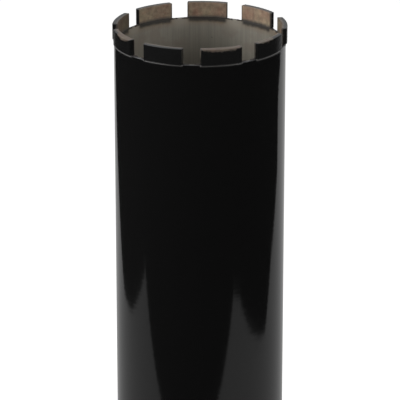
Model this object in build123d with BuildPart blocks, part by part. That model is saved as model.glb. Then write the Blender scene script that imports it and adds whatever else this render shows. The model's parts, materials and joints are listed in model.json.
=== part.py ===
"""Wet diamond core bit, 102 mm crown, standing on its hub with the crown up.

Origin at the centre of the hub's end face, +Z along the axis towards the crown.
All sizes are in millimetres.
"""
import os
from math import cos, radians, sin

from build123d import *

# Crown: pressed diamond segments with parallel ends, seated on the tube's rim
crown_diameter = 102.0
segment_count = 9
segment_length = 24.0
segment_height = 9.8
first_segment_angle = 84.5
segment_corner_radius = 0.5
segment_edge_bevel = 0.3

# How far a segment stands proud of the tube's wall, so that the tube runs free in the hole
outer_relief = 1.0
inner_relief = 0.2

# Tube: cold drawn steel, open at the crown, closed by the back plate
tube_wall = 2.0
tube_length = 350.0
rim_bevel = 0.6
tube_end_bevel = 0.5

# Laser weld that joins the segments to the rim, one unbroken round seam
rim_weld_height = 1.6
rim_weld_proud = 0.3

# Back plate: a turned disc pushed into the tube's end
plate_thickness = 8.0
plate_recess = 4.0
plate_bevel = 1.0
plate_fit = 0.1

# Hub: turned coupling with a 1 1/4 inch, 7 threads per inch, female thread
hub_diameter = 48.0
hub_length = 36.0
hub_bevel = 1.2
spigot_diameter = 36.0
spigot_fit = 0.1
flat_width = 41.0
flat_height = 20.0
thread_diameter = 31.75
thread_end = 31.5
thread_mouth_bevel = 1.5
push_out_hole_diameter = 27.0
push_out_hole_bevel = 1.0

# Fillet welds at the back end
plate_weld_leg = 3.0
hub_weld_leg = 4.0
weld_bulge = 0.5

# Radii and heights that follow from the driving sizes
crown_radius = crown_diameter / 2
tube_radius = crown_radius - outer_relief
bore_radius = tube_radius - tube_wall
segment_inner_radius = bore_radius - inner_relief
hub_radius = hub_diameter / 2
spigot_radius = spigot_diameter / 2
plate_back_z = hub_length
plate_front_z = plate_back_z + plate_thickness
tube_end_z = plate_back_z - plate_recess
rim_z = tube_end_z + tube_length


def save(piece, name):
    """Label a finished piece and write it to its own STEP file."""
    piece.label = name
    export_step(piece, f"parts/{name}.step")


def bead_crest(corner, heel, toe):
    """Point on the crest of a fillet bead, bulged away from the corner that it fills."""
    middle = (Vector(*heel) + Vector(*toe)) / 2
    outward = (middle - Vector(*corner)).normalized()
    crest = middle + outward * weld_bulge
    return (crest.X, crest.Y)


os.makedirs("parts", exist_ok=True)

# Core tube: a plain pipe with a bevelled rim that takes the laser weld
with BuildPart() as core_tube:
    with BuildSketch(Plane.XY.offset(tube_end_z)):
        Circle(tube_radius)
        Circle(bore_radius, mode=Mode.SUBTRACT)
    extrude(amount=tube_length)
    circles = core_tube.edges().filter_by(GeomType.CIRCLE).group_by(Axis.Z)
    chamfer(circles[-1].sort_by(SortBy.RADIUS)[-1], rim_bevel)
    chamfer(circles[0].sort_by(SortBy.RADIUS)[-1], tube_end_bevel)
save(core_tube.part, "core_tube")

# Segments: each an arc of the crown, cut off square to its own middle
for index in range(segment_count):
    angle = radians(first_segment_angle + index * 360 / segment_count)
    seat = Plane(origin=(0, 0, rim_z), x_dir=(cos(angle), sin(angle), 0), z_dir=(0, 0, 1))
    with BuildPart() as segment:
        with BuildSketch(seat):
            Circle(crown_radius)
            Circle(segment_inner_radius, mode=Mode.SUBTRACT)
            with Locations((crown_radius, 0)):
                Rectangle(crown_radius, segment_length, mode=Mode.INTERSECT)
        extrude(amount=segment_height)
        fillet(segment.edges().filter_by(Axis.Z), radius=segment_corner_radius)
        chamfer(segment.faces().sort_by(Axis.Z)[-1].edges(), segment_edge_bevel)
    save(segment.part, f"segment_{index + 1}")

# Rim weld: fills the rim's bevel and stands a little proud of the tube
with BuildPart() as rim_weld:
    with BuildSketch(Plane.XZ):
        with BuildLine():
            Polyline(
                (tube_radius - rim_bevel, rim_z),
                (tube_radius, rim_z),
                (tube_radius + rim_weld_proud, rim_z - rim_weld_height / 3),
                (tube_radius + rim_weld_proud, rim_z - rim_weld_height * 2 / 3),
                (tube_radius, rim_z - rim_weld_height),
                (tube_radius, rim_z - rim_bevel),
                close=True,
            )
        make_face()
    revolve(axis=Axis.Z)
save(rim_weld.part, "rim_weld")

# Back plate: closes the tube and centres the hub on the axis
with BuildPart() as back_plate:
    with BuildSketch(Plane.XY.offset(plate_back_z)):
        Circle(bore_radius - plate_fit)
        Circle(spigot_radius + spigot_fit, mode=Mode.SUBTRACT)
    extrude(amount=plate_thickness)
    front_circles = back_plate.edges().filter_by(GeomType.CIRCLE).group_by(Axis.Z)[-1]
    chamfer(front_circles.sort_by(SortBy.RADIUS)[-1], plate_bevel)
save(back_plate.part, "back_plate")

# Hub: body below the plate, spigot through it, thread from the end face
with BuildPart() as hub:
    with BuildSketch(Plane.XY):
        Circle(hub_radius)
    extrude(amount=hub_length)
    chamfer(hub.edges().filter_by(GeomType.CIRCLE).sort_by(Axis.Z)[0], hub_bevel)
    with BuildSketch(Plane.XY.offset(plate_back_z)):
        Circle(spigot_radius)
    extrude(amount=plate_thickness)
    with BuildSketch(Plane.XY):
        Circle(thread_diameter / 2)
    extrude(amount=thread_end, mode=Mode.SUBTRACT)
    with BuildSketch(Plane.XY.offset(thread_end)):
        Circle(push_out_hole_diameter / 2)
    extrude(amount=plate_front_z - thread_end, mode=Mode.SUBTRACT)
    circles = hub.edges().filter_by(GeomType.CIRCLE).group_by(Axis.Z)
    chamfer(circles[0].sort_by(SortBy.RADIUS)[0], thread_mouth_bevel)
    chamfer(circles[-1].sort_by(SortBy.RADIUS)[0], push_out_hole_bevel)
    with BuildSketch(Plane.XY):
        Circle(hub_diameter)
        Rectangle(flat_width, 2 * hub_diameter, mode=Mode.SUBTRACT)
    extrude(amount=flat_height, mode=Mode.SUBTRACT)
save(hub.part, "hub")

# Plate weld: fillet bead between the recessed plate and the tube's wall
with BuildPart() as plate_weld:
    corner = (bore_radius, plate_back_z)
    heel = (bore_radius - plate_weld_leg, plate_back_z)
    toe = (bore_radius, plate_back_z - plate_weld_leg)
    with BuildSketch(Plane.XZ):
        with BuildLine():
            Polyline(corner, heel, bead_crest(corner, heel, toe), toe, close=True)
        make_face()
    revolve(axis=Axis.Z)
save(plate_weld.part, "plate_weld")

# Hub weld: fillet bead round the hub on the plate's outer face
with BuildPart() as hub_weld:
    corner = (hub_radius, plate_back_z)
    heel = (hub_radius + hub_weld_leg, plate_back_z)
    toe = (hub_radius, plate_back_z - hub_weld_leg)
    with BuildSketch(Plane.XZ):
        with BuildLine():
            Polyline(corner, heel, bead_crest(corner, heel, toe), toe, close=True)
        make_face()
    revolve(axis=Axis.Z)
save(hub_weld.part, "hub_weld")
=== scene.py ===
# %% [markdown]
# # A wet diamond core bit
# The object is a drilling tool: a thin steel tube, glossy black outside and bare inside,
# with nine sintered segments on its rim. A frame of plain CAD solids says where every
# piece is, and this lesson dresses it, piece by piece, until it looks like the real tool.

# %% Load the frame
import json
import math
from functools import partial

import bpy
import numpy as np
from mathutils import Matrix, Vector


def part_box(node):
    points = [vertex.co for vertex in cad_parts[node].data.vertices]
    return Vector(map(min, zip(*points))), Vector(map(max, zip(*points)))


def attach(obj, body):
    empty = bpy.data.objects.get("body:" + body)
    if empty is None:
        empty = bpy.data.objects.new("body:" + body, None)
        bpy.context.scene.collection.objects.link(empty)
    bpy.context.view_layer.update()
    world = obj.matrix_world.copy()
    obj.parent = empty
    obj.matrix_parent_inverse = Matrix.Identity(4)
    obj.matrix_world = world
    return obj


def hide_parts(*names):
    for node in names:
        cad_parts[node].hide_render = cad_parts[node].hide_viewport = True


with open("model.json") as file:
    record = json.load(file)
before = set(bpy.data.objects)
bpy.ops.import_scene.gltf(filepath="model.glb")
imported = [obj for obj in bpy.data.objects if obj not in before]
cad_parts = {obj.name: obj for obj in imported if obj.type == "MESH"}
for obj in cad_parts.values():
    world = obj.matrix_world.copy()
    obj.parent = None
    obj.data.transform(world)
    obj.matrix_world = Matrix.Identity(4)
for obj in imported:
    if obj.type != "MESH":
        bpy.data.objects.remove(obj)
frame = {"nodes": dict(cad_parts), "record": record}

MM = 0.001
scene = bpy.context.scene
link = scene.collection.objects.link
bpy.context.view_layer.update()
print("nodes:", sorted(frame["nodes"]))

# %% [markdown]
# ## Sizes read from the frame
# Nothing is measured twice. The radii come from the farthest and nearest points of each
# CAD node about the Z axis, and the heights from its box, so the looks follow the part.

# %% Measure the CAD nodes


def radii(node):
    """Smallest and largest distance of a node's points from the Z axis."""
    points = np.array([v.co[:2] for v in frame["nodes"][node].data.vertices])
    distances = np.hypot(*points.T)
    return float(distances.min()), float(distances.max())


SEGMENTS = sorted(name for name in frame["nodes"] if name.startswith("segment_"))
BORE_R, TUBE_R = radii("core_tube")
SEGMENT_R, CROWN_R = radii(SEGMENTS[0])
TUBE_END_Z, RIM_Z = [corner.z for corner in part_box("core_tube")]
CROWN_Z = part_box(SEGMENTS[0])[1].z
PLATE_R_IN, PLATE_R = radii("back_plate")
PLATE_Z, PLATE_TOP_Z = [corner.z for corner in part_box("back_plate")]
PUSH_OUT_R, HUB_R = radii("hub")
THREAD = frame["record"]["mounts"][0]
THREAD_R = THREAD["dims"]["r_mm"] * MM
THREAD_Z = THREAD["pos_m"][2]
THREAD_LENGTH = THREAD["dims"]["length_mm"] * MM
print(f"tube {TUBE_R / MM:.1f} mm, crown {CROWN_R / MM:.1f} mm, rim at {RIM_Z / MM:.1f} mm")

# %% [markdown]
# ## The camera
# The photograph was taken with a long lens, looking down on the crown by about twenty
# degrees, and it cuts off the tube. The camera's place and lens were solved from the
# crown's known sizes, so the render frames the tool as the photograph does.

# %% Camera
CAMERA_BACK = 1628.6 * MM
CAMERA_ABOVE_RIM = 481.4 * MM
CAMERA_PITCH = math.radians(19.600)
CAMERA_LENS = 262.4

camera_data = bpy.data.cameras.new("camera")
camera_data.sensor_width = 36.0
camera_data.lens = CAMERA_LENS
camera_data.clip_end = 50.0
camera = bpy.data.objects.new("camera", camera_data)
camera.location = (0.1 * MM, -CAMERA_BACK, RIM_Z + CAMERA_ABOVE_RIM)
camera.rotation_euler = (math.pi / 2 - CAMERA_PITCH, 0.0, 0.0)
link(camera)
scene.camera = camera
scene.view_settings.view_transform = "Standard"
print(f"camera {camera.location.length:.2f} m away, lens {CAMERA_LENS} mm")

# %% [markdown]
# ## Helpers for colours and nodes
# Colours are written as the hex values a painter would pick from a screen, and one
# function turns them to the linear light values that the renderer works with. The second
# function adds one node to any tree. It is told the kind of node, with the operation of a
# maths node behind it, then its inputs, as a list in the node's own order or by name, and
# its settings. The list of a MapRange is a value, the range that it comes from, and the
# range that it goes to.

# %% Helpers for colours and nodes


def colour(code):
    """Linear RGBA of an sRGB hex colour such as #8a7b66."""
    parts = [int(code[i:i + 2], 16) / 255 for i in (1, 3, 5)]
    linear = [c / 12.92 if c <= 0.04045 else ((c + 0.055) / 1.055) ** 2.4 for c in parts]
    return (*linear, 1.0)


def add_node(tree, kind, inputs=(), **settings):
    """Add a node of a kind such as "Math multiply". Inputs are values or sockets to link."""
    kind, _, operation = kind.partition(" ")
    family = next(word for word in ("Shader", "Geometry", "Function")
                  if hasattr(bpy.types, f"{word}Node{kind}"))
    node = tree.nodes.new(f"{family}Node{kind}")
    if operation:
        settings["operation"] = operation.upper()
    for name, value in settings.items():
        setattr(node, name, value)
    for key, value in inputs.items() if isinstance(inputs, dict) else enumerate(inputs):
        if isinstance(value, bpy.types.Node):
            value = next(socket for socket in value.outputs if socket.enabled)
        if isinstance(value, bpy.types.NodeSocket):
            tree.links.new(value, node.inputs[key])
        else:
            node.inputs[key].default_value = value
    return node


def new_material(name):
    """An empty node material, its own add function and the place of each shading point."""
    material = bpy.data.materials.new(name)
    material.use_nodes = True
    material.node_tree.nodes.clear()
    add = partial(add_node, material.node_tree)
    return material, add, add("TexCoord").outputs["Object"]


def ray_is(add, *kinds):
    """1 for a ray of one of these kinds, such as Camera or Glossy, and 0 for another."""
    flags = add("LightPath").outputs
    found = flags[f"Is {kinds[0]} Ray"]
    for kind in kinds[1:]:
        found = add("Math maximum", [found, flags[f"Is {kind} Ray"]])
    return found


# %% [markdown]
# ## The stage
# Gloss is only as good as what it mirrors. The camera looks down, so the upright tube
# mirrors nothing but the floor: a pale sheet beside and behind the tool, and the darker
# room past its edges. That is where the black middle and the grey side bands of the
# photograph come from. Both floor materials look alike to the camera, and keep the
# object's shadow; they differ only in what a mirror sees.

# %% Floor materials
WHITE = (1, 1, 1, 1)
FLOOR_COLOUR = colour("#e4e4e4")
FLOOR_LIFT = 0.62
ROOM_LEVEL = 0.013


def floor_material(name, levels):
    """Pale floor. In a mirror it is lit by levels: near and far y, near and far radiance."""
    material, add, place = new_material(name)
    matt = add("BsdfDiffuse", {"Color": FLOOR_COLOUR})
    lift = add("Emission", {"Color": WHITE, "Strength": FLOOR_LIFT})
    lifted = add("AddShader", [matt, lift])
    seen = add("MixShader", [ray_is(add, "Camera"), matt, lifted])
    level = ROOM_LEVEL
    if levels:
        y = add("SeparateXYZ", [place]).outputs["Y"]
        level = add("MapRange", [y, *levels], interpolation_type="SMOOTHSTEP")
    mirrored = add("Emission", {"Color": WHITE, "Strength": level})
    in_mirror = ray_is(add, "Glossy", "Transmission")
    mixed = add("MixShader", [in_mirror, seen, mirrored])
    add("OutputMaterial", {"Surface": mixed})
    return material


sheet_paper = floor_material("pale paper sheet, matt", [0.1, 0.9, 0.44, 0.58])
room_floor = floor_material("pale room floor, matt", None)

# %% Floor meshes
ROOM_HALF = 8.0
ROOM_BELOW = 0.05 * MM
SHEET_OUTLINE = [(-0.72, -0.16), (0.49, -0.485), (0.545, -0.40), (0.552, 0.08), (0.69, 0.26),
                 (0.79, 0.60), (1.01, 0.79), (1.01, 4.0), (-0.60, 4.0), (-0.56, 0.70),
                 (-0.53, 0.35), (-0.59, 0.14)]


def flat_piece(name, outline, z, material):
    """A flat, one-faced stage object that looks up."""
    mesh = bpy.data.meshes.new(name)
    mesh.from_pydata([(x, y, z) for x, y in outline], [], [list(range(len(outline)))])
    mesh.materials.append(material)
    piece = bpy.data.objects.new(name, mesh)
    link(piece)


room_outline = [(x * ROOM_HALF, y * ROOM_HALF) for x, y in ((-1, -1), (1, -1), (1, 1), (-1, 1))]
flat_piece("room_floor", room_outline, -ROOM_BELOW, room_floor)
flat_piece("paper_sheet", SHEET_OUTLINE, 0.0, sheet_paper)
print("stage: a pale sheet of", len(SHEET_OUTLINE), "corners on a room floor")

# %% [markdown]
# ## Light
# A white room of weak even light, two large soft lamps on the left, which make the inside
# of the crown's right wall the lighter one, and one on the right. They stand low, so
# their light fades down the inside of the tube, as it does in the photograph.

# %% World and lamps
WORLD_LIGHT = 0.30
LAMP_SIZE = 0.9
world = bpy.data.worlds.new("studio")
world.use_nodes = True
scene.world = world
world.node_tree.nodes.clear()
add_sky = partial(add_node, world.node_tree)
sky_white = ray_is(add_sky, "Camera", "Glossy", "Transmission")
sky_level = add_sky("MapRange", [sky_white, 0, 1, WORLD_LIGHT, 1.0])
sky = add_sky("Background", {"Color": WHITE, "Strength": sky_level})
add_sky("OutputWorld", {"Surface": sky})


def soft_lamp(name, place, watts):
    """A square softbox aimed at the crown."""
    data = bpy.data.lights.new(name, "AREA")
    data.size = LAMP_SIZE
    data.energy = watts
    lamp = bpy.data.objects.new(name, data)
    lamp.location = place
    aim = Vector((0, 0, RIM_Z)) - Vector(place)
    lamp.rotation_euler = aim.to_track_quat("-Z", "Y").to_euler()
    link(lamp)


soft_lamp("side softbox", (-2.0, 0.0, 1.3), 21.0)
soft_lamp("front left softbox", (-1.73, -1.0, 1.3), 17.0)
soft_lamp("front right softbox", (1.73, -1.0, 1.3), 14.0)
print("lamps: two from the left, one from the front right")

# %% [markdown]
# ## Growing pieces with Geometry Nodes
# Most of the tool follows a rule: a profile turned round an axis, a bead that runs round
# a seam, a segment that repeats nine times. Each rule is one node tree. This helper runs
# a tree on an object, takes the result as a plain mesh, and makes sure that its faces
# look outwards, by the sign of the volume that they close.

# %% Helpers that run a tree


def new_tree(name, counts, sizes):
    """A geometry tree with named inputs. Returns its own add function and those inputs."""
    tree = bpy.data.node_groups.new(name, "GeometryNodeTree")
    tree.interface.new_socket(name="Geometry", in_out="OUTPUT", socket_type="NodeSocketGeometry")
    kinds = {"Geometry": ["Geometry"], "Int": counts, "Float": sizes, "Material": ["Material"]}
    for kind, labels in kinds.items():
        for label in labels:
            tree.interface.new_socket(name=label, in_out="INPUT", socket_type=f"NodeSocket{kind}")
    return partial(add_node, tree), tree.nodes.new("NodeGroupInput").outputs


def raise_skin(add, shape, height):
    """Move each point of a shape along its normal."""
    normal = add("InputNormal")
    lift = add("VectorMath scale", {0: normal.outputs["Normal"], "Scale": height})
    return add("SetPosition", {"Geometry": shape, "Offset": lift})


def finish_tree(add, given, shape):
    """End a tree with the shape made real, in the material that the tree is given."""
    real = add("RealizeInstances", {"Geometry": shape})
    dressed = add("SetMaterial", {"Geometry": real, "Material": given["Material"]})
    tree = dressed.id_data
    tree.links.new(dressed.outputs[0], tree.nodes.new("NodeGroupOutput").inputs["Geometry"])
    return tree


def signed_volume(mesh):
    """Volume closed by a mesh, negative if its faces look inwards."""
    mesh.calc_loop_triangles()
    points = np.array([v.co for v in mesh.vertices])
    corners = points[np.array([t.vertices for t in mesh.loop_triangles])]
    return float(np.linalg.det(corners).sum() / 6)


def grow(name, tree, values, seed_mesh=None, sharp_angle=35.0):
    """Run a tree on an object and keep what it makes as a plain, closed mesh."""
    piece = bpy.data.objects.new(name, seed_mesh or bpy.data.meshes.new(name + "_seed"))
    modifier = piece.modifiers.new("grow", "NODES")
    modifier.node_group = tree
    sockets = {item.name: item.identifier for item in tree.interface.items_tree
               if item.in_out == "INPUT"}
    for label, value in values.items():
        modifier[sockets[label]] = value
    link(piece)
    evaluated = piece.evaluated_get(bpy.context.evaluated_depsgraph_get())
    mesh = bpy.data.meshes.new_from_object(evaluated)
    piece.modifiers.remove(modifier)
    piece.data = mesh
    mesh.name = name
    while mesh.materials and mesh.materials[0] is None:
        mesh.materials.pop(index=0)
    if signed_volume(mesh) < 0:
        mesh.flip_normals()
    mesh.shade_smooth()
    mesh.set_sharp_from_angle(angle=math.radians(sharp_angle))
    print(f"{name}: {len(mesh.polygons)} faces, {signed_volume(mesh) / MM ** 3:.0f} mm3")
    return piece


def points_of(piece):
    """The points of a piece, one row each."""
    points = np.zeros(len(piece.data.vertices) * 3)
    piece.data.vertices.foreach_get("co", points)
    return points.reshape(-1, 3)


def move_points(piece, points):
    """Put the points of a piece in new places."""
    piece.data.vertices.foreach_set("co", points.ravel())
    piece.data.update()


def settle(piece, slot, *nodes):
    """A finished piece rides on the one body and stands for its CAD nodes; its slot is not used."""
    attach(piece, "root")
    if nodes:
        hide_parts(*nodes)


# %% [markdown]
# ## A tree for everything that is turned
# The tube, the plate, the hub, the weld beads and even the thread are one closed profile
# carried round an axis. The input is that profile, a ring of points whose X is the radius
# and Z the height. The tree lays copies of it side by side on a grid. It can climb as it
# goes round, for a thread, press flats into the sides, for a wrench, and ripple or
# roughen the skin, for a weld.

# %% Tree for turned parts


def turned_tree():
    """Carry the input's ring of points round Z."""
    add, given = new_tree("turned part", ["Points", "Steps"], [
        "Turns", "Climb", "Run out radius", "Flat half width", "Flat top", "Ripples",
        "Ripple depth", "Ripple bow", "Ripple middle", "Uneven depth", "Uneven size"])
    rows, columns = [add("Math add", [given[label], 1.0]) for label in ("Points", "Steps")]
    grid = add("MeshGrid", {"Vertices X": rows, "Vertices Y": columns})

    index = add("InputIndex")
    row = add("Math floor", [add("Math divide", [index, columns])])
    profile_row = add("Math modulo", [row, given["Points"]])
    column = add("Math modulo", [index, columns])
    share = add("Math divide", [column, given["Steps"]])
    turns_done = add("Math multiply", [share, given["Turns"]])
    angle = add("Math multiply", [turns_done, math.tau])

    place = add("InputPosition")
    profile = add("SampleIndex", {
        "Geometry": given["Geometry"], "Value": place, "Index": profile_row},
        data_type="FLOAT_VECTOR")
    profile_r, _, profile_z = add("SeparateXYZ", [profile]).outputs

    turns_left = add("Math subtract", [given["Turns"], turns_done])
    nearest_end = add("Math minimum", [turns_done, turns_left])
    fade = add("MapRange", [nearest_end, 0.0, 0.4])
    flush = add("Math maximum", [given["Run out radius"], profile_r])
    radius = add("MapRange", [fade, 0, 1, flush, profile_r])

    x, y = [add("Math multiply", [radius, add(f"Math {part}", [angle])])
            for part in ("cosine", "sine")]
    z = add("Math multiply_add", [turns_done, given["Climb"], profile_z])
    other_side = add("Math multiply", [given["Flat half width"], -1.0])
    pressed = add("Clamp", {"Value": x, "Min": other_side, "Max": given["Flat half width"]})
    below = add("Math less_than", [profile_z, given["Flat top"]])
    flat_x = add("MapRange", [below, 0, 1, x, pressed])
    point = add("CombineXYZ", [flat_x, y, z])
    laid = add("SetPosition", {"Geometry": grid, "Position": point})
    closed = add("MergeByDistance", {"Geometry": laid, "Distance": 0.002 * MM})
    outward = add("FlipFaces", {"Mesh": closed})

    skin_x, skin_y, skin_z = add("SeparateXYZ", [place]).outputs
    around = add("Math arctan2", [skin_y, skin_x])
    half_turns = add("Math multiply", [around, given["Ripples"]])
    off_middle = add("Math subtract", [skin_z, given["Ripple middle"]])
    in_mm = add("Math multiply", [off_middle, 1 / MM])
    squared = add("Math power", [in_mm, 2.0])
    bowed = add("Math multiply_add", [squared, given["Ripple bow"], half_turns])
    half_phase = add("Math multiply", [bowed, 0.5])
    scales = add("Math absolute", [add("Math sine", [half_phase])])
    scale_height = add("Math multiply", [scales, given["Ripple depth"]])
    lumps = add("TexNoise", {"Vector": place, "Scale": given["Uneven size"]})
    centred = add("Math subtract", [lumps.outputs["Fac"], 0.5])
    height = add("Math multiply_add", [centred, given["Uneven depth"], scale_height])
    rough = raise_skin(add, outward, height)
    return finish_tree(add, given, rough)


turned = turned_tree()

# %% Helpers for profiles
NO_FLAT = 1.0


def round_profile(corners):
    """Points in metres of a profile with (radius, height, rounding) corners in millimetres."""
    points = []
    count = len(corners)
    for i, (r, z, rounding) in enumerate(corners):
        corner = Vector((r, z))
        before = Vector(corners[i - 1][:2]) - corner
        after = Vector(corners[(i + 1) % count][:2]) - corner
        if rounding == 0:
            points.append(corner * MM)
            continue
        start = corner + before.normalized() * rounding
        end = corner + after.normalized() * rounding
        for share in (0.0, 0.25, 0.5, 0.75, 1.0):
            first = start.lerp(corner, share)
            points.append(first.lerp(corner.lerp(end, share), share) * MM)
    return points


def turn(name, corners, material, steps=240, sharp_angle=35.0, **extra):
    """A turned piece from the corners of its closed profile."""
    profile = round_profile(corners)
    ring = bpy.data.meshes.new(name + "_profile")
    count = len(profile)
    edges = [(i, (i + 1) % count) for i in range(count)]
    ring.from_pydata([(r, 0.0, z) for r, z in profile], edges, [])
    values = {"Points": count, "Steps": steps, "Turns": 1.0, "Flat half width": NO_FLAT,
              "Material": material}
    values.update({label.replace("_", " ").capitalize(): v for label, v in extra.items()})
    return grow(name, turned, values, ring, sharp_angle)


# %% [markdown]
# ## Gloss black enamel
# One coat of gloss enamel sprayed on drawn steel. It shows almost no colour of its own:
# the eye sees what it mirrors. Under the gloss the tube's turning marks stay as faint
# level rings, a couple of millimetres apart, and they comb the edges of every reflection.
# Near the hot rim the coat is a little wrinkled. It is thinner on the segments, and on
# their tops and on the rim it is only a dry mist, so it is nearly matt there. The enamel
# is a helper, because several pieces wear it over different metals, and a mask says
# where it ends.

# %% Gloss enamel
ENAMEL_BLACK = colour("#0f0f0f")
RING_SPACING = 1.9 * MM
RING_LENGTH = 16.0 * MM
RING_DEPTH = 0.010 * MM
PEEL_SIZE = 6.0 * MM
PEEL_DEPTH = 0.004 * MM
WRINKLE_SIZE = 1.6 * MM
WRINKLE_DEPTH = 0.05 * MM
WRINKLE_REACH = 6.0 * MM
WET_SPRAY = (0.05, 0.11)
THIN_START = 0.3 * MM
TOP_MIST = (0.6 * MM, 0.25 * MM)
RIM_MIST = 0.12 * MM
THIN_SPRAY = 0.25
DRY_SPRAY = 0.55


def enamel_finish(add, place):
    """Roughness and normal of the sprayed enamel."""
    ring_map = add("Mapping", {
        "Vector": place, "Scale": (1 / RING_LENGTH, 1 / RING_LENGTH, 1 / RING_SPACING)})
    rings = add("TexNoise", {"Vector": ring_map, "Scale": 1.0, "Detail": 1.0, "Roughness": 0.4})
    peel = add("TexNoise", {"Vector": place, "Scale": 1 / PEEL_SIZE, "Detail": 1.0})
    wrinkles = add("TexNoise", {"Vector": place, "Scale": 1 / WRINKLE_SIZE})
    z = add("SeparateXYZ", [place]).outputs["Z"]
    near_rim = add("MapRange", [z, RIM_Z - WRINKLE_REACH, RIM_Z, 0.0, 1.0])
    wrinkled = add("Math multiply", [wrinkles, near_rim])
    peeled = add("Bump", {"Distance": PEEL_DEPTH, "Height": peel})
    ringed = add("Bump", {"Distance": RING_DEPTH, "Height": rings, "Normal": peeled})
    sprayed = add("Bump", {"Distance": WRINKLE_DEPTH, "Height": wrinkled, "Normal": ringed})
    wet = add("MapRange", [peel, 0, 1, *WET_SPRAY])
    on_segment = add("MapRange", [z, RIM_Z, RIM_Z + THIN_START, wet, THIN_SPRAY])
    on_crown = add("MapRange", [z, *(CROWN_Z - depth for depth in TOP_MIST)])
    on_rim = add("Math compare", [z, RIM_Z, RIM_MIST])
    dry = add("Math maximum", [on_crown, on_rim])
    roughness = add("Mix", {0: dry, 2: on_segment, 3: DRY_SPRAY})
    return roughness, sprayed


def lay_over(add, ground, layers):
    """Lay colours one over another, each where its mask says."""
    for mask, paint in layers:
        ground = add("Mix", {0: mask, 6: ground, 7: paint}, data_type="RGBA").outputs[2]
    return ground


def enamelled(add, place, mask, bare_colour, metallic, bare_roughness, bare_normal):
    """One shader that is enamel where the mask is 1 and the bare metal where it is 0."""
    spray, enamel_normal = enamel_finish(add, place)
    base = lay_over(add, bare_colour, [(mask, ENAMEL_BLACK)])
    metal = add("MapRange", [mask, 0, 1, metallic, 0.0])
    roughness = add("Mix", {0: mask, 2: bare_roughness, 3: spray})
    normal = add("Mix", {0: mask, 4: bare_normal, 5: enamel_normal}, data_type="VECTOR")
    shader = add("BsdfPrincipled", {
        "Base Color": base, "Metallic": metal, "Roughness": roughness, "Normal": normal})
    add("OutputMaterial", {"Surface": shader})


def radius_of(add, place):
    """Distance of a shading point from the Z axis."""
    level = add("VectorMath multiply", [place, (1, 1, 0)])
    return add("VectorMath length", [level]).outputs["Value"]


# %% [markdown]
# ## Bare drawn steel
# The inside of the tube never saw the spray gun. Cold drawn steel is an olive grey with
# streaks along the draw. The heat of the weld has tinted a narrow band brown under each
# segment, and the wall is darker in a band right under each segment, at the joint. Under
# each slot the wall is painted a little paler, a painted pool of the light that comes in
# through the slot, but not on the right. The colours are laid one over another like coats
# of paint, each with a mask that is worked out from the distance to the rim and to a slot.

# %% Drawn steel of the tube
STEEL_DARK = colour("#7a766d")
STEEL_LIGHT = colour("#89857a")
STEEL_CLOUD = colour("#7d756b")
STEEL_TINT = colour("#7e674e")
SLOT_LIGHT_PALE = colour("#989388")
STEEL_JOINT_DARK = colour("#2b2926")
STREAK_WIDTH = 1.4 * MM
STREAK_LENGTH = 60.0 * MM
CLOUD_SIZE = 9.0 * MM
TINT_HEIGHT = 5.5 * MM
SLOT_LIGHT_SIZE = 8.0 * MM
SLOT_LIGHT_FADE_X = (30.0 * MM, 42.0 * MM)
JOINT_DARK_LINE = 1.0 * MM
JOINT_DARK_REACH = 2.3 * MM
JOINT_DARK_GRAIN = 2.2 * MM
JOINT_DARK_RAG = 1.6 * MM
JOINT_DARK_HALF_WIDTH = (12.3 * MM, 10.5 * MM)
BORDER_GRAIN = 1.5 * MM
OVERSPRAY = 0.3 * MM
FIRST_ANGLE = math.radians(84.5)


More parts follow.
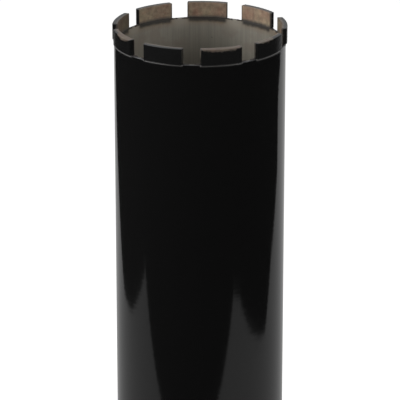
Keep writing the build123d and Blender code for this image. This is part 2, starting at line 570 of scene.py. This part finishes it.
def tube_material():
    """Enamel outside and cold drawn steel inside, with a ragged border on the rim."""
    material, add, place = new_material("gloss enamel over cold drawn steel")
    x, y, z = add("SeparateXYZ", [place]).outputs
    streak_map = add("Mapping", {
        "Vector": place, "Scale": (1 / STREAK_WIDTH, 1 / STREAK_WIDTH, 1 / STREAK_LENGTH)})
    streaks = add("TexNoise", {"Vector": streak_map, "Scale": 1.0, "Detail": 3.0, "Roughness": 0.6})
    clouds, crust, ragged = [
        add("TexNoise", {"Vector": place, "Scale": 1 / size, "Detail": detail})
        for size, detail in ((CLOUD_SIZE, 3.0), (JOINT_DARK_GRAIN, 3.0), (BORDER_GRAIN, 2.0))]
    streaked = add("MapRange", [streaks, 0.3, 0.7])
    cloudy = add("MapRange", [clouds, 0.5, 0.65, 0.0, 0.8])

    below_rim = add("Math subtract", [RIM_Z, z])
    tint = add("MapRange", [below_rim, 0.4 * TINT_HEIGHT, TINT_HEIGHT, 0.9, 0.0])
    tinted = add("Math multiply", [tint, clouds])
    angle = add("Math arctan2", [y, x])
    turned_back = add("Math subtract", [angle, FIRST_ANGLE])
    pitches = add("Math multiply", [turned_back, len(SEGMENTS) / math.tau])
    to_slot = add("Math add", [pitches, 0.5])
    from_slot = add("Math pingpong", [to_slot, 0.5])
    pitch_length = math.tau * BORE_R / len(SEGMENTS)
    # Painted light: a soft pool painted paler on the wall under each slot, where light comes in
    # through it, fading out on the right.
    across = add("Math multiply", [from_slot, pitch_length / SLOT_LIGHT_SIZE])
    down = add("Math multiply", [below_rim, 1 / SLOT_LIGHT_SIZE])
    in_slot_light = add("CombineXYZ", [across, down])
    from_slot_light = add("VectorMath length", [in_slot_light]).outputs["Value"]
    slot_light = add("MapRange", [from_slot_light, 0.2, 1.1, 0.8, 0.0], interpolation_type="SMOOTHSTEP")
    off_right = add("MapRange", [x, *SLOT_LIGHT_FADE_X, 1.0, 0.0])
    painted_slot_light = add("Math multiply", [slot_light, off_right])

    # A ragged darker band on the wall right under each segment, at the joint.
    dark_depth = add("Math multiply_add", [crust, -JOINT_DARK_RAG, below_rim])
    dark_away = add("Math subtract", [dark_depth, JOINT_DARK_LINE - JOINT_DARK_RAG / 2])
    dark_left = add("MapRange", [dark_away, 0.0, JOINT_DARK_REACH, 0.95, 0.0],
                    interpolation_type="SMOOTHSTEP")
    under_segment = add("MapRange", [
        from_slot, *(0.5 - half / pitch_length for half in JOINT_DARK_HALF_WIDTH)])
    dark_at_joint = add("Math multiply", [dark_left, under_segment])
    steel = lay_over(add, STEEL_DARK, [
        (streaked, STEEL_LIGHT), (cloudy, STEEL_CLOUD), (tinted, STEEL_TINT),
        (painted_slot_light, SLOT_LIGHT_PALE), (dark_at_joint, STEEL_JOINT_DARK)])

    border = add("Math multiply_add", [ragged, 0.9 * MM, radius_of(add, place)])
    sprayed_r = BORE_R + OVERSPRAY + 0.35 * MM
    painted = add("MapRange", [border, sprayed_r, sprayed_r + 0.15 * MM])
    roughness = add("MapRange", [clouds, 0, 1, 0.40, 0.60])
    bump = add("Bump", {"Strength": 0.6, "Distance": 0.02 * MM, "Height": streaks})
    enamelled(add, place, painted, steel, 0.3, roughness, bump)
    return material


tube_finish = tube_material()

# %% [markdown]
# ## Turned and machined steel
# The hub's end face, bore and thread stay bare, because they must run true on the
# machine. Turned steel carries fine grooves round the axis, and they draw the light out
# into a fan. The same material wears enamel on the outside, where the mask says so.

# %% Turned steel of the hub and the plate
TURNED_STEEL = colour("#b4b2ad")
GROOVE_SPACING = 0.35 * MM
STAIN_SIZE = 7.0 * MM
HUB_BARE_R = THREAD_R + 2.2 * MM
HUB_BARE_Z = 0.35 * MM


def machined_material(name, bare_above, bare_below, bare_within):
    """Turned steel under enamel. It is bare above one height, below another, and inside."""
    material, add, place = new_material(name)
    z = add("SeparateXYZ", [place]).outputs["Z"]
    radius = radius_of(add, place)
    along = add("Math add", [radius, z])
    groove_place = add("Math multiply", [along, 1 / GROOVE_SPACING])
    grooves = add("TexNoise", {"W": groove_place, "Scale": 1.0},
                  noise_dimensions="1D")
    stains, ragged = [
        add("TexNoise", {"Vector": place, "Scale": 1 / size, "Detail": detail})
        for size, detail in ((STAIN_SIZE, 4.0), (BORDER_GRAIN, 2.0))]
    stained = add("MapRange", [stains, 0.45, 0.75, 0.0, 0.35])
    steel = lay_over(add, TURNED_STEEL, [(stained, STEEL_TINT)])
    shift = add("Math subtract", [ragged, 0.5])
    stray = add("Math multiply", [shift, 0.8 * MM])
    height = add("Math add", [z, stray])
    under = add("Math less_than", [height, bare_above])
    over = add("Math greater_than", [height, bare_below])
    reach = add("Math add", [radius, stray])
    outside = add("Math greater_than", [reach, bare_within])
    between = add("Math multiply", [under, over])
    painted = add("Math multiply", [between, outside])
    roughness = add("MapRange", [stains, 0, 1, 0.22, 0.42])
    bump = add("Bump", {"Strength": 0.5, "Distance": 0.01 * MM, "Height": grooves})
    enamelled(add, place, painted, steel, 1.0, roughness, bump)
    return material


NOWHERE = -1.0
EVERYWHERE = 1.0
hub_finish = machined_material(
    "gloss enamel over turned steel, hub", EVERYWHERE, HUB_BARE_Z, HUB_BARE_R)
plate_finish = machined_material(
    "gloss enamel over turned steel, plate", PLATE_Z + 0.5 * MM, NOWHERE, 0.0)
thread_finish = machined_material("bare cut steel, thread", NOWHERE, NOWHERE, 0.0)

# %% [markdown]
# ## Sintered segments
# A segment is metal powder and diamond grit, pressed and baked. Bare, it is a warm matt
# brown between bronze and iron, blotched by the furnace, with the lowest two millimetres
# free of diamond, darker, and darkest at the joint. Both ends are darkened with painted
# shade, and each segment is painted paler or darker as a whole, standing for the light
# that falls on it. The spray gun reached the outer half of every segment. How far it
# reached differs from one to the next, so the mesh carries that distance as an attribute,
# and the material compares it with the depth of each point below the outer face.

# %% Sintered matrix
MATRIX_BROWN = colour("#7d6857")
MATRIX_PALE = colour("#877964")
MATRIX_RED = colour("#7e6151")
MATRIX_SPECK = colour("#aea186")
FOOT_GREY = colour("#4d4a46")
DARK_MIST_AND_SHADE = colour("#2e2c2a")
BLOTCH_SIZE = 8.0 * MM
RED_SIZE = 5.0 * MM
MOTTLE_SIZE = 2.6 * MM
EDGE_GRAIN = 1.6 * MM
GRIT_SPACING = 0.9 * MM
POWDER_SIZE = 0.35 * MM
FOOT_HEIGHT = 2.0 * MM
END_SHADE = (11.0 * MM, 11.7 * MM)
MIST = 0.65


def segment_material():
    """Sintered metal powder, enamelled on its outer half."""
    material, add, place = new_material("sintered bronze and iron matrix, as baked")
    block, painted_light, reach = [add("Attribute", attribute_name=name)
                          for name in ("block", "painted_light", "paint_reach")]
    along, depth, rise = add("SeparateXYZ", [block.outputs["Vector"]]).outputs
    blotches, ragged, powder = [
        add("TexNoise", {"Vector": place, "Scale": 1 / size, "Detail": detail})
        for size, detail in ((BLOTCH_SIZE, 3.0), (EDGE_GRAIN, 3.0), (POWDER_SIZE, 2.0))]
    reds = add("TexNoise", {"Vector": place, "Scale": 1 / RED_SIZE, "Distortion": 0.4})
    mottles = add("TexNoise", {
        "Vector": place, "Scale": 1 / MOTTLE_SIZE, "Detail": 3.0, "Roughness": 0.55})
    grains = add("TexVoronoi", {"Vector": place, "Scale": 1 / GRIT_SPACING})
    pale = add("MapRange", [blotches, 0.4, 0.65])
    red = add("MapRange", [reds, 0.52, 0.7, 0.0, 0.7])
    speck = add("MapRange", [grains.outputs["Distance"], 0.12, 0.25, 0.35, 0.0])
    baked = lay_over(add, MATRIX_BROWN, [
        (pale, MATRIX_PALE), (red, MATRIX_RED), (speck, MATRIX_SPECK)])
    mottle = add("MapRange", [mottles, 0.3, 0.7, 0.75, 1.25])
    # Painted light and shade: the mottle is scaled by a value for each segment, which stands for
    # how brightly that segment is lit.
    mottle_and_light = add("Math multiply", [mottle, painted_light.outputs["Fac"]])
    mottled_and_lit = add("VectorMath scale", {0: baked, "Scale": mottle_and_light})

    stray = add("Math subtract", [ragged, 0.5])
    foot_top = add("Math multiply_add", [stray, 1.6 * MM, rise])
    foot = add("MapRange", [foot_top, 0.4 * FOOT_HEIGHT, FOOT_HEIGHT + 0.3 * MM, 0.85, 0.0])
    # Darker towards the joint with the tube.
    joint_dark = add("MapRange", [foot_top, 0.0, 0.9 * MM, 0.8, 0.0])
    # Painted shade: the colour darkens near both ends of each segment.
    from_middle = add("Math absolute", [along])
    painted_end_shade = add("MapRange", [from_middle, *END_SHADE, 0.0, 0.85])
    top = CROWN_Z - RIM_Z
    on_top = add("MapRange", [rise, top - 0.5 * MM, top - 0.25 * MM, 0.0, MIST])
    below_skin = add("MapRange", [depth, 0.05 * MM, 0.35 * MM, MIST, 0.0])
    mist = add("Math maximum", [on_top, below_skin])
    matrix = lay_over(add, mottled_and_lit, [
        (foot, FOOT_GREY), (joint_dark, DARK_MIST_AND_SHADE), (painted_end_shade, DARK_MIST_AND_SHADE), (mist, DARK_MIST_AND_SHADE)])

    left = add("Math subtract", [reach.outputs["Fac"], depth])
    border = add("Math multiply_add", [stray, 0.9 * MM, left])
    painted = add("MapRange", [border, -0.25 * MM, 0.15 * MM])
    roughness = add("MapRange", [powder, 0, 1, 0.45, 0.65])
    bump = add("Bump", {"Strength": 0.7, "Distance": 0.06 * MM, "Height": powder})
    enamelled(add, place, painted, matrix, 0.1, roughness, bump)
    return material


segment_finish = segment_material()

# %% [markdown]
# ## Weld metal and diamond
# The seams were welded before the tool was painted, so their skin is enamel, wrinkled
# over the ripples. Above the shoulder of the rim's seam, and on the corner beads there, the
# enamel is painted grey: a painted highlight for the light that the seam catches. A few
# beads of burnt weld metal on the inside stayed bare. The diamond grit is yellowish
# synthetic crystal, mostly still smeared with metal, so it only glints.

# %% Weld enamel, burnt weld metal and diamond
SEAM_HIGHLIGHT_GREY = colour("#464442")
SHOULDER_Z = RIM_Z - 0.85 * MM
LUMP_SIZE = 0.8 * MM
CRUST_SIZE = 0.6 * MM
SMEAR_SIZE = 1.1 * MM
BURNT_BLACK = colour("#262423")
BURNT_BROWN = colour("#4a4038")
DIAMOND_YELLOW = colour("#b9ad80")


def weld_material():
    """Enamel over a weld bead, painted grey above the shoulder of the rim's seam as a painted
    highlight.
    """
    material, add, place = new_material("gloss enamel over weld metal")
    z = add("SeparateXYZ", [place]).outputs["Z"]
    # Painted highlight: the enamel is grey above the shoulder of the rim's seam.
    seam_highlight = add("MapRange", [z, SHOULDER_Z, SHOULDER_Z + 0.2 * MM])
    skin = lay_over(add, ENAMEL_BLACK, [(seam_highlight, SEAM_HIGHLIGHT_GREY)])
    lumps = add("TexNoise", {"Vector": place, "Scale": 1 / LUMP_SIZE, "Detail": 3.0})
    bump = add("Bump", {"Distance": 0.03 * MM, "Height": lumps})
    haze = add("MapRange", [lumps, 0, 1, 0.08, 0.20])
    roughness = add("Mix", {0: seam_highlight, 2: haze, 3: 0.4})
    shader = add("BsdfPrincipled", {"Base Color": skin, "Roughness": roughness, "Normal": bump})
    add("OutputMaterial", {"Surface": shader})
    return material


def burnt_material():
    """Oxidised weld metal, nearly black with brown places."""
    material, add, place = new_material("burnt weld metal")
    crust = add("TexNoise", {"Vector": place, "Scale": 1 / CRUST_SIZE, "Detail": 4.0})
    brown = lay_over(add, BURNT_BLACK, [(crust, BURNT_BROWN)])
    bump = add("Bump", {"Distance": 0.08 * MM, "Height": crust})
    roughness = add("MapRange", [crust, 0, 1, 0.45, 0.75])
    shader = add("BsdfPrincipled", {
        "Base Color": brown, "Metallic": 0.4, "Roughness": roughness, "Normal": bump})
    add("OutputMaterial", {"Surface": shader})
    return material


def diamond_material():
    """Synthetic diamond grit, dulled by the metal that it was baked in."""
    material, add, place = new_material("synthetic diamond grit, smeared")
    smear = add("TexNoise", {"Vector": place, "Scale": 1 / SMEAR_SIZE})
    grit = lay_over(add, MATRIX_BROWN, [(smear, DIAMOND_YELLOW)])
    roughness = add("MapRange", [smear, 0, 1, 0.5, 0.15])
    shader = add("BsdfPrincipled", {"Base Color": grit, "Roughness": roughness, "IOR": 2.0})
    add("OutputMaterial", {"Surface": shader})
    return material


weld_finish = weld_material()
burnt_finish = burnt_material()
diamond_finish = diamond_material()
print("materials:", sorted(m.name for m in bpy.data.materials if m.use_nodes))

# %% [markdown]
# ## The core tube
# A pipe with two millimetres of wall. Every edge is broken, because a sharp edge on real
# steel is always a little round and catches light there. The rim's bevel for the weld is
# full of weld metal, so the rim is dressed as a nearly sharp corner.

# %% Core tube
RIM_EDGE = 0.2
END_BEVEL = 0.5
bore, skin = BORE_R / MM, TUBE_R / MM
foot_z, rim_z = TUBE_END_Z / MM, RIM_Z / MM

core_tube = turn("core_tube_drawn", [
    (bore, foot_z, 0.3), (skin - END_BEVEL, foot_z, 0.2), (skin, foot_z + END_BEVEL, 0.2),
    (skin, rim_z - RIM_EDGE, 0.08), (skin - RIM_EDGE, rim_z, 0.08), (bore, rim_z, 0.3),
], tube_finish, steps=360)
settle(core_tube, "black_paint", "core_tube")

# %% [markdown]
# ## The seam under the segments
# A laser weld fills the bevel of the rim. It stands a little proud and is never quite
# even. Its upper side slopes out below the segments, and a grey band on this slope is a
# painted highlight, the thin pale line that parts the segments from the tube. In the
# slots there is nothing to melt on, so the bead sinks until it is flush with the tube.

# %% Rim weld
rim_bead = turn("rim_weld_bead", [
    (skin - 1.0, rim_z - 1.4, 0.0), (skin - 0.02, rim_z - 1.4, 0.1),
    (skin + 0.26, rim_z - 1.1, 0.12), (skin + 0.26, rim_z - 0.72, 0.1),
    (skin - 0.26, rim_z - 0.04, 0.1), (skin - 1.0, rim_z - 0.04, 0.0),
], weld_finish, steps=900, uneven_depth=0.12 * MM, uneven_size=1 / (2.2 * MM))

SEGMENT_LENGTH = 24.0 * MM
SLOT_SINK = 0.42 * MM
SINK_RAMP = 0.8 * MM
pitch = math.tau / len(SEGMENTS)
segment_half_angle = math.asin(SEGMENT_LENGTH / 2 / TUBE_R)
points = points_of(rim_bead)
turned_back = np.arctan2(points[:, 1], points[:, 0]) - FIRST_ANGLE
from_middle = np.abs((turned_back + pitch / 2) % pitch - pitch / 2)
in_slot = np.clip((from_middle - segment_half_angle) * TUBE_R / SINK_RAMP, 0, 1)
points[:, :2] *= 1 - (in_slot * SLOT_SINK / TUBE_R)[:, None]
move_points(rim_bead, points)
settle(rim_bead, "black_paint", "rim_weld")

# %% [markdown]
# ## The crown
# Nine blocks repeat round the rim, so they are one tree. A fine grid of points on a cube
# is packed towards its edges, pressed on a rounded box, bent to the crown's radius with
# its ends left parallel, as the press makes them, and set nine times on the rim. Each
# point remembers where it is in its block, for the material: how far along, how deep
# below the outer face, and how high above the rim.

# %% Tree for the segments


def crown_tree():
    """Blocks with parallel ends, bent to a radius and repeated round Z."""
    add, given = new_tree("crown of segments", ["Count"], [
        "First angle", "Length", "Height", "Inner radius", "Outer radius", "Edge radius",
        "Rim height", "Wear", "Wear size"])
    cube = add("MeshCube", {
        "Size": (2, 2, 2), "Vertices X": 37, "Vertices Y": 11, "Vertices Z": 21})
    place = add("InputPosition")
    size = add("VectorMath absolute", [place])
    slack = add("VectorMath subtract", [(2, 2, 2), size])
    packed = add("VectorMath multiply", [place, slack])

    wall = add("Math subtract", [given["Outer radius"], given["Inner radius"]])
    full = add("CombineXYZ", [given["Length"], wall, given["Height"]])
    half = add("VectorMath scale", {0: full, "Scale": 0.5})
    point = add("VectorMath multiply", [packed, half])
    core = add("VectorMath subtract", [half, given["Edge radius"]])
    core_low = add("VectorMath scale", {0: core, "Scale": -1.0})
    raised = add("VectorMath maximum", [core_low, point])
    inside = add("VectorMath minimum", [core, raised])
    away = add("VectorMath subtract", [point, inside])
    outward = add("VectorMath normalize", [away])
    rounded = add("VectorMath multiply_add", [outward, given["Edge radius"], inside])
    along, box_y, box_z = add("SeparateXYZ", [rounded]).outputs
    _, half_y, half_z = add("SeparateXYZ", [half]).outputs

    depth = add("Math subtract", [half_y, box_y])
    rise = add("Math add", [half_z, box_z])
    radius = add("Math subtract", [given["Outer radius"], depth])
    radius_squared = add("Math power", [radius, 2.0])
    along_squared = add("Math multiply", [along, along])
    radial_squared = add("Math subtract", [radius_squared, along_squared])
    radial = add("Math sqrt", [radial_squared])
    height = add("Math add", [rise, given["Rim height"]])
    in_block = add("CombineXYZ", [along, depth, rise])
    bent = add("CombineXYZ", [radial, along, height])
    marked = add("StoreNamedAttribute", {"Geometry": cube, "Name": "block", "Value": in_block},
                 data_type="FLOAT_VECTOR", domain="POINT")
    laid = add("SetPosition", {"Geometry": marked, "Position": bent})
    block = add("FlipFaces", {"Mesh": laid})

    seats = add("Points", {"Count": given["Count"]})
    index = add("InputIndex")
    pitch = add("Math divide", [math.tau, given["Count"]])
    angle = add("Math multiply_add", [index, pitch, given["First angle"]])
    turned_by = add("CombineXYZ", {"Z": angle})
    crown = add("InstanceOnPoints", {"Points": seats, "Instance": block, "Rotation": turned_by})
    numbered = add("StoreNamedAttribute", {"Geometry": crown, "Name": "segment", "Value": index},
                   data_type="FLOAT", domain="INSTANCE")
    real = add("RealizeInstances", {"Geometry": numbered})

    dents = add("TexNoise", {"Vector": place, "Scale": given["Wear size"]})
    sunk = add("Math multiply", [dents, given["Wear"]])
    inwards = add("Math multiply", [sunk, -1.0])
    return finish_tree(add, given, raise_skin(add, real, inwards))


# %% Crown
GRIT_PROUD = 0.10 * MM
segment_height = CROWN_Z - RIM_Z - GRIT_PROUD

crown = grow("diamond_segments", crown_tree(), {
    "Count": len(SEGMENTS), "First angle": FIRST_ANGLE, "Length": SEGMENT_LENGTH,
    "Height": segment_height, "Inner radius": SEGMENT_R, "Outer radius": CROWN_R,
    "Edge radius": 0.38 * MM, "Rim height": RIM_Z, "Wear": 0.10 * MM,
    "Wear size": 1 / (2.0 * MM), "Material": segment_finish})

# %% [markdown]
# ## Where the spray reached
# The mask is data, not a texture. For every point the script writes how deep the paint
# goes there: most of the wall on the ends, and a different depth over the top of each
# segment. Three segments in front were rubbed. Their upper edge is worn down a little,
# and a brown crescent of bare matrix shows below it, where the reach falls below zero.
# A second value is painted light and shade: it makes each segment paler or darker, standing for the
# light that falls on its inner face.

# %% Paint reach
END_REACH = np.array([2.2, 1.7, 2.1, 3.2, 3.2, 2.4, 2.0, 2.1, 2.2]) * MM
TOP_REACH = np.array([2.2, 2.2, 2.2, 1.2, 1.9, 2.0, 2.0, 2.0, 2.2]) * MM
TOP_DEPTH = 0.25 * MM
HALF_BARE_TOP, PAINTED_TOP_START = 3, 9.0 * MM
PAINTED_ENDS, END_START, FULL_REACH = 1, 11.75 * MM, 3.6 * MM
RUBBED = [(3, 4.5, 7.5, 1.5, 0.7), (5, -0.5, 13.0, 1.5, 0.35), (6, -5.0, 6.5, 0.6, 0.2)]
RUB_SOFTNESS = 0.35
RUB_WIDTH = 2.6 * MM
# Painted light and shade, one value for each segment: above 1 paints it paler, as if more lit,
# below 1 darker, as if in shade.
SEGMENT_LIGHT_AND_SHADE = np.array([1.1, 1.1, 0.42, 1.0, 1.0, 1.0, 1.0, 0.62, 1.4])

points = points_of(crown)
block = np.zeros(points.size)
segment = np.zeros(len(points))
crown.data.attributes["block"].data.foreach_get("vector", block)
crown.data.attributes["segment"].data.foreach_get("value", segment)
along, depth, rise = block.reshape(-1, 3).T
segment = segment.round().astype(int)
reach = END_REACH[segment]
on_top = rise > segment_height - TOP_DEPTH
reach[on_top] = TOP_REACH[segment[on_top]]
painted_top = on_top & (segment == HALF_BARE_TOP) & (along > PAINTED_TOP_START)
reach[painted_top] = END_REACH[HALF_BARE_TOP]
reach[(segment == PAINTED_ENDS) & (np.abs(along) > END_START)] = FULL_REACH
for number, middle, half, crescent, drop in RUBBED:
    bow = 1 - ((along / MM - middle) / half) ** 2
    rubbed = (segment == number) & (bow > 0)
    rub = RUB_SOFTNESS * (segment_height - crescent * MM * bow - rise)
    reach[rubbed] = np.minimum(reach, rub)[rubbed]
    outer_share = np.clip(1 - depth / RUB_WIDTH, 0, 1)
    worn_down = drop * MM * np.sqrt(np.clip(bow, 0, 1)) * outer_share * rise / segment_height
    points[rubbed, 2] -= worn_down[rubbed]
move_points(crown, points)
reach = np.clip(reach, -1.0 * MM, None)
for name, values in (("paint_reach", reach), ("painted_light", SEGMENT_LIGHT_AND_SHADE[segment])):
    crown.data.attributes.new(name, "FLOAT", "POINT").data.foreach_set("value", values)
settle(crown, "diamond_segment", *SEGMENTS)
print(f"paint reaches {reach.min() / MM:.1f} to {reach.max() / MM:.1f} mm")

# %% [markdown]
# ## Diamond grit
# Crystals a third of a millimetre across break the surface wherever the matrix is bare
# and above the foot. Scattering points on the crown's own faces and growing a small
# faceted crystal on each one, mostly sunk, gives the crown its sparkle close to.

# %% Diamond grit
BARE_MARGIN = 0.3 * MM


def grit_tree():
    """Crystals on the bare faces of the input."""
    add, given = new_tree("diamond grit", ["Seed"], [
        "Density", "Crystal radius", "Sunk", "Foot height"])
    block = add("InputNamedAttribute", {"Name": "block"}, data_type="FLOAT_VECTOR")
    reach = add("InputNamedAttribute", {"Name": "paint_reach"}, data_type="FLOAT")
    _, depth, rise = add("SeparateXYZ", [block]).outputs
    spare = add("Math subtract", [depth, reach])
    bare = add("Math greater_than", [spare, BARE_MARGIN])
    high = add("Math greater_than", [rise, given["Foot height"]])
    chosen = add("Math multiply", [bare, high])
    points = add("DistributePointsOnFaces", {
        "Mesh": given["Geometry"], "Selection": chosen, "Density": given["Density"],
        "Seed": given["Seed"]}, distribute_method="RANDOM")
    crystal = add("MeshIcoSphere", {"Radius": given["Crystal radius"], "Subdivisions": 1})
    spin = add("RandomValue", {0: (0, 0, 0), 1: (math.tau, math.tau, math.tau), "Seed": 11},
               data_type="FLOAT_VECTOR")
    size = add("RandomValue", {0: (0.6, 0.6, 0.5), 1: (1.2, 1.2, 1.0), "Seed": 12},
               data_type="FLOAT_VECTOR")
    deep = add("Math multiply", [given["Sunk"], -1.0])
    sink = add("VectorMath scale", {0: points.outputs["Normal"], "Scale": deep})
    sunk = add("SetPosition", {"Geometry": points, "Offset": sink})
    crystals = add("InstanceOnPoints", {
        "Points": sunk, "Instance": crystal, "Rotation": spin, "Scale": size})
    return finish_tree(add, given, crystals)


grit = grow("diamond_grit", grit_tree(), {
    "Density": 0.35 / MM ** 2, "Crystal radius": 0.18 * MM, "Sunk": 0.12 * MM,
    "Foot height": FOOT_HEIGHT + 0.4 * MM, "Seed": 7, "Material": diamond_finish},
    crown.data.copy(), sharp_angle=10.0)
settle(grit, "diamond_segment")

# %% [markdown]
# ## Beads at the corners
# Where the laser meets the corner of a segment it leaves a small bead on the outside, and
# a crust of burnt drops on the inner edge of the rim, reaching a little way into the
# slot. They are lumps with eighty faces each, set on points that the script works out,
# all of them sunk to the waist.

# %% Tree for beads
WOBBLE_SIZE = 0.7 * MM


def bead_tree():
    """Squashed round lumps on the input's points."""
    add, given = new_tree("weld beads", ["Seed"], ["Radius", "Uneven"])
    lump = add("MeshIcoSphere", {"Radius": given["Radius"], "Subdivisions": 2})
    size = add("RandomValue", {0: (0.7, 0.7, 0.6), 1: (1.3, 1.3, 1.0), "Seed": given["Seed"]},
               data_type="FLOAT_VECTOR")
    points = add("MeshToPoints", {"Mesh": given["Geometry"]})
    lumps = add("InstanceOnPoints", {"Points": points, "Instance": lump, "Scale": size})
    real = add("RealizeInstances", {"Geometry": lumps})
    place = add("InputPosition")
    wobble = add("TexNoise", {"Vector": place, "Scale": 1 / WOBBLE_SIZE, "Detail": 1.0})
    centred = add("VectorMath subtract", [wobble.outputs["Color"], (0.5, 0.5, 0.5)])
    offset = add("VectorMath scale", {0: centred, "Scale": given["Uneven"]})
    shaped = add("SetPosition", {"Geometry": real, "Offset": offset})
    return finish_tree(add, given, shaped)


beads = bead_tree()


def rim_points(name, spots):
    """A mesh of loose points from (angle, radius, height) spots."""
    mesh = bpy.data.meshes.new(name)
    mesh.from_pydata([(r * math.cos(a), r * math.sin(a), z) for a, r, z in spots], [], [])
    return mesh


# %% Corner beads and spatter
CRUST_STEPS = np.array([-0.4, 0.4, 1.2, 2.1, 3.2]) * MM
corners = [(FIRST_ANGLE + index * pitch + side * segment_half_angle, side)
           for index in range(len(SEGMENTS)) for side in (-1, 1)]
outer_spots = [(a, TUBE_R + 0.05 * MM, RIM_Z - 0.35 * MM) for a, side in corners]
inner_spots = [(a + side * step / BORE_R, BORE_R + 0.25 * MM, RIM_Z + 0.05 * MM)
               for a, side in corners for step in CRUST_STEPS]

for name, spots, radius, uneven, seed, finish in (
        ("corner_beads", outer_spots, 0.62 * MM, 0.25 * MM, 3, weld_finish),
        ("burnt_beads", inner_spots, 0.55 * MM, 0.4 * MM, 5, burnt_finish)):
    lumps = grow(name, beads, {
        "Radius": radius, "Uneven": uneven, "Seed": seed, "Material": finish},
        rim_points(name + "_spots", spots))
    settle(lumps, "black_paint")

# %% [markdown]
# ## Back plate, hub and their welds
# The far end closes the tube. A turned plate is welded into it, and a turned hub through
# the plate carries the spindle thread and two flats for the wrench. The photograph does
# not show this end, so it is finished plainly, as such tools are.

# %% Back plate and hub
plate_low, plate_high = PLATE_Z / MM, PLATE_TOP_Z / MM
spigot = PLATE_R_IN / MM - 0.1
hub_r, push_out = HUB_R / MM, PUSH_OUT_R / MM
thread_r, thread_top = THREAD_R / MM, (THREAD_Z + THREAD_LENGTH) / MM
FLAT_TOP = 20.0
FLAT_HALF = max(v.co.x for v in frame["nodes"]["hub"].data.vertices
                if v.co.z < FLAT_TOP * MM / 2)

back_plate = turn("back_plate_turned", [
    (spigot + 0.1, plate_low, 0.0), (PLATE_R / MM, plate_low, 0.0),
    (PLATE_R / MM, plate_high - 1.0, 0.2), (PLATE_R / MM - 1.0, plate_high, 0.2),
    (spigot + 0.1, plate_high, 0.1),
], plate_finish)
settle(back_plate, "black_paint", "back_plate")

hub = turn("hub_turned", [
    (thread_r + 1.5, 0.0, 0.2), (hub_r - 1.2, 0.0, 0.3), (hub_r, 1.2, 0.3),
    (hub_r, FLAT_TOP - 0.02, 0.0), (hub_r, FLAT_TOP + 0.02, 0.0), (hub_r, plate_low, 0.0),
    (spigot, plate_low, 0.0), (spigot, plate_high, 0.3), (push_out + 1.0, plate_high, 0.2),
    (push_out, plate_high - 1.0, 0.2), (push_out, thread_top, 0.0), (thread_r, thread_top, 0.2),
    (thread_r, 1.5, 0.0),
], hub_finish, sharp_angle=22.0, flat_half_width=FLAT_HALF, flat_top=FLAT_TOP * MM)
settle(hub, "black_paint", "hub")

# %% [markdown]
# ## Fillet welds
# Each weld is a bead of overlapping scales, one for every pulse of the torch. The
# profile is the corner that the bead fills, with a bowed face, and the tree's ripples
# make the scales: shallow crescents, bent back from the middle of the bead. Points
# inside the corner are hidden by the parts that meet there.

# %% Plate weld and hub weld


def fillet_profile(corner, heel, toe, bulge, count=9):
    """Corners of a fillet: the inner one, then an arc from the heel to the toe."""
    corner, heel, toe = Vector(corner), Vector(heel), Vector(toe)
    outward = ((heel + toe) / 2 - corner).normalized()
    arc = []
    for i in range(count):
        share = i / (count - 1)
        arc.append(heel.lerp(toe, share) + outward * bulge * 4 * share * (1 - share))
    return [(*point, 0.0) for point in [corner] + arc]


SCALE_SPACING = 1.5 * MM
BOW = 1.6
BULGE = 0.35


def fillet_weld(name, corner, heel, toe, radius, middle, depth, steps):
    """A fillet bead of scales round Z. Its middle is that far below the plate."""
    return turn(name, fillet_profile(corner, heel, toe, BULGE), weld_finish, steps=steps,
                ripples=round(math.tau * radius / SCALE_SPACING), ripple_depth=depth * MM,
                ripple_bow=BOW, ripple_middle=PLATE_Z - middle * MM,
                uneven_depth=0.25 * MM, uneven_size=1 / (4 * MM))


plate_weld = fillet_weld(
    "plate_weld_bead", (bore + 0.2, plate_low + 0.2), (bore - 3.0, plate_low + 0.2),
    (bore + 0.2, plate_low - 3.0), BORE_R, middle=1.4, depth=0.10, steps=1200)
settle(plate_weld, "black_paint", "plate_weld")

hub_weld = fillet_weld(
    "hub_weld_bead", (hub_r - 0.2, plate_low + 0.2), (hub_r - 0.2, plate_low - 4.0),
    (hub_r + 4.0, plate_low + 0.2), HUB_R, middle=1.9, depth=0.12, steps=840)
settle(hub_weld, "black_paint", "hub_weld")

# %% [markdown]
# ## The spindle thread
# A ridge climbs the bore seven times in an inch. The turned tree makes it by lifting the
# profile as it goes round, and lets the ridge run out into the wall at both ends.

# %% Thread
THREAD_PITCH = 25.4 / 7
THREAD_DEPTH = 1.95
CREST_HALF = 0.25
root = thread_r + 0.06
ridge_half = THREAD_PITCH / 2 * 0.94
start_z = THREAD_Z / MM + ridge_half + 0.1
thread_turns = (THREAD_LENGTH / MM - 2 * ridge_half - 0.3) / THREAD_PITCH

thread = turn("spindle_thread", [
    (root, start_z - ridge_half, 0.0), (root, start_z + ridge_half, 0.0),
    (thread_r - THREAD_DEPTH, start_z + CREST_HALF, 0.0),
    (thread_r - THREAD_DEPTH, start_z - CREST_HALF, 0.0),
], thread_finish, steps=int(96 * thread_turns), sharp_angle=30.0, turns=thread_turns,
    climb=THREAD_PITCH * MM, run_out_radius=root * MM)
settle(thread, "bare_steel")
